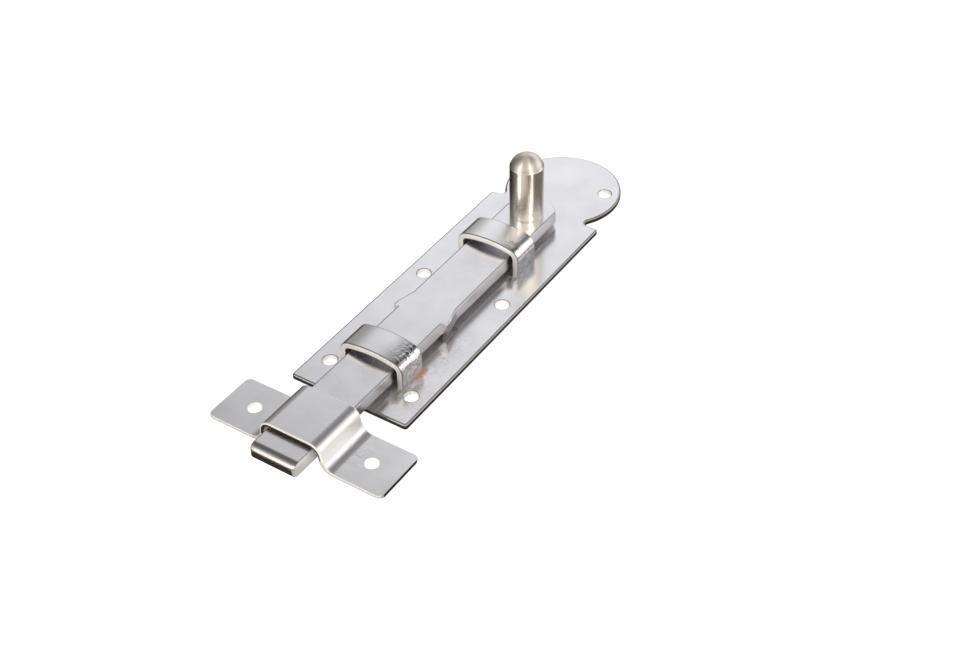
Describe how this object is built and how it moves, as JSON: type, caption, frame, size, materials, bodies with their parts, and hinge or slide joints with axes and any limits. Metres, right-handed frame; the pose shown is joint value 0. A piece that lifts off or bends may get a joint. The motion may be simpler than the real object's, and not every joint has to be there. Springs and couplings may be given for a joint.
{
  "type": "flat slide bolt",
  "caption": "Flat slide bolt with keeper: a long plate with a round head, two crowned guides over a flat sliding bar, and an upright domed knob on the bar.",
  "frame": {"origin": "centre of the plate's four-screw rectangle, on the plate's back face", "axes": "+X along the bar towards its nose and the keeper, +Z out of the door, towards the knob's head, +Y across"},
  "size_m": [0.2127, 0.074, 0.0366],
  "materials": {
    "plate_zinc": "thin zinc plating on rolled sheet, satin, with a faint lilac tint",
    "guide_zinc": "zinc plating on bent strap, half-bright, with a little rust at the front guide's foot",
    "bar_zinc": "thin zinc plating on drawn flat bar, satin",
    "knob_zinc": "zinc plating on a turned pin, half-bright, warm tint",
    "keeper_zinc": "thin zinc plating on bent sheet, satin"
  },
  "bodies": {
    "plate": {"back_plate": "plate_zinc", "front_guide": "guide_zinc", "rear_guide": "guide_zinc", "keeper": "keeper_zinc"},
    "bolt": {"slide_bar": "bar_zinc", "knob": "knob_zinc"}
  },
  "joints": [
    {"name": "bolt_slide", "type": "slide", "parent": "plate", "child": "bolt", "axis": [1, 0, 0], "range_m": [-0.0395, 0.0088]}
  ]
}
